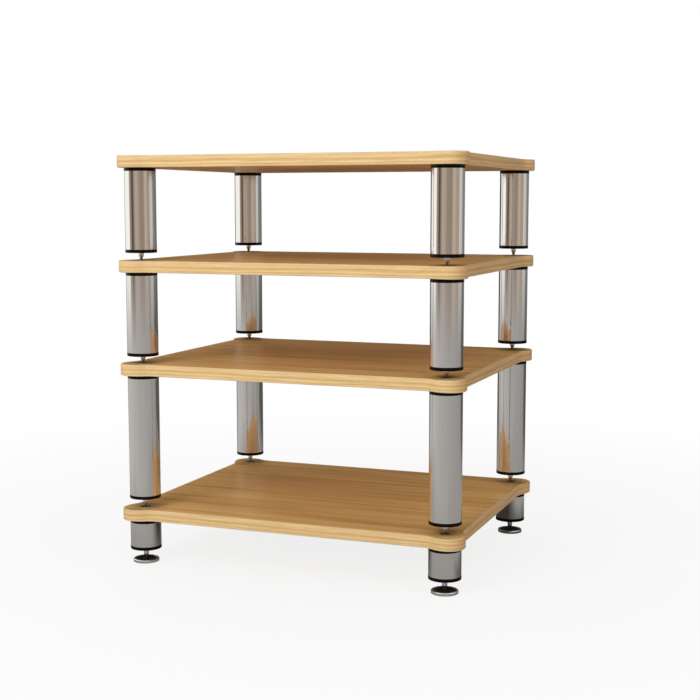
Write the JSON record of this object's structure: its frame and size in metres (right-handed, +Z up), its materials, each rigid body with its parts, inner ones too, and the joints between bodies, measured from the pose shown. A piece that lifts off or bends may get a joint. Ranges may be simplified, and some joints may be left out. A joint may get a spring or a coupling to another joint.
{
  "type": "audio equipment rack",
  "caption": "Free-standing audio rack: stacked wooden shelves on capped bright tube columns, each standing on steel spikes, with levelling floor pads.",
  "frame": {"origin": "centre of the footprint, on the floor under the pads", "axes": "+Z up, -Y the front that the components face, +X to the right seen from the front"},
  "size_m": [0.577, 0.4684, 0.6593],
  "materials": {
    "beech_board": "satin lacquer",
    "bright_tube": "polished",
    "black_cap": "gloss",
    "spike_steel": "turned",
    "pad_steel": "polished",
    "pad_insert": "moulded"
  },
  "bodies": {
    "base_tier": {"base_shelf": "beech_board", "base_tube_front_left": "bright_tube", "base_caps_and_bolt_front_left": "black_cap", "base_tube_front_right": "bright_tube", "base_caps_and_bolt_front_right": "black_cap", "base_tube_rear_left": "bright_tube", "base_caps_and_bolt_rear_left": "black_cap", "base_tube_rear_right": "bright_tube", "base_caps_and_bolt_rear_right": "black_cap"},
    "lower_tier": {"lower_shelf": "beech_board", "lower_tube_front_left": "bright_tube", "lower_caps_and_bolt_front_left": "black_cap", "lower_tube_front_right": "bright_tube", "lower_caps_and_bolt_front_right": "black_cap", "lower_tube_rear_left": "bright_tube", "lower_caps_and_bolt_rear_left": "black_cap", "lower_tube_rear_right": "bright_tube", "lower_caps_and_bolt_rear_right": "black_cap"},
    "upper_tier": {"upper_shelf": "beech_board", "upper_tube_front_left": "bright_tube", "upper_caps_and_bolt_front_left": "black_cap", "upper_tube_front_right": "bright_tube", "upper_caps_and_bolt_front_right": "black_cap", "upper_tube_rear_left": "bright_tube", "upper_caps_and_bolt_rear_left": "black_cap", "upper_tube_rear_right": "bright_tube", "upper_caps_and_bolt_rear_right": "black_cap"},
    "top_tier": {"top_shelf": "beech_board", "top_tube_front_left": "bright_tube", "top_caps_and_bolt_front_left": "black_cap", "top_tube_front_right": "bright_tube", "top_caps_and_bolt_front_right": "black_cap", "top_tube_rear_left": "bright_tube", "top_caps_and_bolt_rear_left": "black_cap", "top_tube_rear_right": "bright_tube", "top_caps_and_bolt_rear_right": "black_cap"},
    "floor_pad_front_left": {"floor_pad_front_left": "pad_steel", "floor_pad_insert_front_left": "pad_insert"},
    "floor_pad_front_right": {"floor_pad_front_right": "pad_steel", "floor_pad_insert_front_right": "pad_insert"},
    "floor_pad_rear_left": {"floor_pad_rear_left": "pad_steel", "floor_pad_insert_rear_left": "pad_insert"},
    "floor_pad_rear_right": {"floor_pad_rear_right": "pad_steel", "floor_pad_insert_rear_right": "pad_insert"},
    "base_spike_front_left": {"base_spike_front_left": "spike_steel"},
    "base_spike_front_right": {"base_spike_front_right": "spike_steel"},
    "base_spike_rear_left": {"base_spike_rear_left": "spike_steel"},
    "base_spike_rear_right": {"base_spike_rear_right": "spike_steel"},
    "lower_spike_front_left": {"lower_spike_front_left": "spike_steel"},
    "lower_spike_front_right": {"lower_spike_front_right": "spike_steel"},
    "lower_spike_rear_left": {"lower_spike_rear_left": "spike_steel"},
    "lower_spike_rear_right": {"lower_spike_rear_right": "spike_steel"},
    "upper_spike_front_left": {"upper_spike_front_left": "spike_steel"},
    "upper_spike_front_right": {"upper_spike_front_right": "spike_steel"},
    "upper_spike_rear_left": {"upper_spike_rear_left": "spike_steel"},
    "upper_spike_rear_right": {"upper_spike_rear_right": "spike_steel"},
    "top_spike_front_left": {"top_spike_front_left": "spike_steel"},
    "top_spike_front_right": {"top_spike_front_right": "spike_steel"},
    "top_spike_rear_left": {"top_spike_rear_left": "spike_steel"},
    "top_spike_rear_right": {"top_spike_rear_right": "spike_steel"}
  },
  "joints": [
    {"name": "lift_lower_tier", "type": "slide", "parent": "base_tier", "child": "lower_tier", "axis": [0, 0, 1], "range_m": [0, 0.1]},
    {"name": "lift_upper_tier", "type": "slide", "parent": "lower_tier", "child": "upper_tier", "axis": [0, 0, 1], "range_m": [0, 0.1]},
    {"name": "lift_top_tier", "type": "slide", "parent": "upper_tier", "child": "top_tier", "axis": [0, 0, 1], "range_m": [0, 0.1]},
    {"name": "level_foot_front_left", "type": "slide", "parent": "base_tier", "child": "floor_pad_front_left", "axis": [0, 0, -1], "range_m": [-0.005, 0.005]},
    {"name": "turn_base_spike_front_left", "type": "hinge", "parent": "floor_pad_front_left", "child": "base_spike_front_left", "pos_m": [-0.2555, -0.20125, 0], "axis": [0, 0, -1], "range_deg": [-1440, 1440]},
    {"name": "level_foot_front_right", "type": "slide", "parent": "base_tier", "child": "floor_pad_front_right", "axis": [0, 0, -1], "range_m": [-0.005, 0.005]},
    {"name": "turn_base_spike_front_right", "type": "hinge", "parent": "floor_pad_front_right", "child": "base_spike_front_right", "pos_m": [0.2555, -0.20125, 0], "axis": [0, 0, -1], "range_deg": [-1440, 1440]},
    {"name": "level_foot_rear_left", "type": "slide", "parent": "base_tier", "child": "floor_pad_rear_left", "axis": [0, 0, -1], "range_m": [-0.005, 0.005]},
    {"name": "turn_base_spike_rear_left", "type": "hinge", "parent": "floor_pad_rear_left", "child": "base_spike_rear_left", "pos_m": [-0.2555, 0.20125, 0], "axis": [0, 0, -1], "range_deg": [-1440, 1440]},
    {"name": "level_foot_rear_right", "type": "slide", "parent": "base_tier", "child": "floor_pad_rear_right", "axis": [0, 0, -1], "range_m": [-0.005, 0.005]},
    {"name": "turn_base_spike_rear_right", "type": "hinge", "parent": "floor_pad_rear_right", "child": "base_spike_rear_right", "pos_m": [0.2555, 0.20125, 0], "axis": [0, 0, -1], "range_deg": [-1440, 1440]},
    {"name": "turn_lower_spike_front_left", "type": "hinge", "parent": "lower_tier", "child": "lower_spike_front_left", "pos_m": [-0.2555, -0.20125, 0.091], "axis": [0, 0, -1], "range_deg": [-1440, 1440]},
    {"name": "turn_lower_spike_front_right", "type": "hinge", "parent": "lower_tier", "child": "lower_spike_front_right", "pos_m": [0.2555, -0.20125, 0.091], "axis": [0, 0, -1], "range_deg": [-1440, 1440]},
    {"name": "turn_lower_spike_rear_left", "type": "hinge", "parent": "lower_tier", "child": "lower_spike_rear_left", "pos_m": [-0.2555, 0.20125, 0.091], "axis": [0, 0, -1], "range_deg": [-1440, 1440]},
    {"name": "turn_lower_spike_rear_right", "type": "hinge", "parent": "lower_tier", "child": "lower_spike_rear_right", "pos_m": [0.2555, 0.20125, 0.091], "axis": [0, 0, -1], "range_deg": [-1440, 1440]},
    {"name": "turn_upper_spike_front_left", "type": "hinge", "parent": "upper_tier", "child": "upper_spike_front_left", "pos_m": [-0.2555, -0.20125, 0.32775], "axis": [0, 0, -1], "range_deg": [-1440, 1440]},
    {"name": "turn_upper_spike_front_right", "type": "hinge", "parent": "upper_tier", "child": "upper_spike_front_right", "pos_m": [0.2555, -0.20125, 0.32775], "axis": [0, 0, -1], "range_deg": [-1440, 1440]},
    {"name": "turn_upper_spike_rear_left", "type": "hinge", "parent": "upper_tier", "child": "upper_spike_rear_left", "pos_m": [-0.2555, 0.20125, 0.32775], "axis": [0, 0, -1], "range_deg": [-1440, 1440]},
    {"name": "turn_upper_spike_rear_right", "type": "hinge", "parent": "upper_tier", "child": "upper_spike_rear_right", "pos_m": [0.2555, 0.20125, 0.32775], "axis": [0, 0, -1], "range_deg": [-1440, 1440]},
    {"name": "turn_top_spike_front_left", "type": "hinge", "parent": "top_tier", "child": "top_spike_front_left", "pos_m": [-0.2555, -0.20125, 0.4935], "axis": [0, 0, -1], "range_deg": [-1440, 1440]},
    {"name": "turn_top_spike_front_right", "type": "hinge", "parent": "top_tier", "child": "top_spike_front_right", "pos_m": [0.2555, -0.20125, 0.4935], "axis": [0, 0, -1], "range_deg": [-1440, 1440]},
    {"name": "turn_top_spike_rear_left", "type": "hinge", "parent": "top_tier", "child": "top_spike_rear_left", "pos_m": [-0.2555, 0.20125, 0.4935], "axis": [0, 0, -1], "range_deg": [-1440, 1440]},
    {"name": "turn_top_spike_rear_right", "type": "hinge", "parent": "top_tier", "child": "top_spike_rear_right", "pos_m": [0.2555, 0.20125, 0.4935], "axis": [0, 0, -1], "range_deg": [-1440, 1440]}
  ],
  "couplings": [
    {"joint": "turn_base_spike_front_left", "follows": "level_foot_front_left", "rad_per_m": 5026.5},
    {"joint": "turn_base_spike_front_right", "follows": "level_foot_front_right", "rad_per_m": 5026.5},
    {"joint": "turn_base_spike_rear_left", "follows": "level_foot_rear_left", "rad_per_m": 5026.5},
    {"joint": "turn_base_spike_rear_right", "follows": "level_foot_rear_right", "rad_per_m": 5026.5}
  ]
}
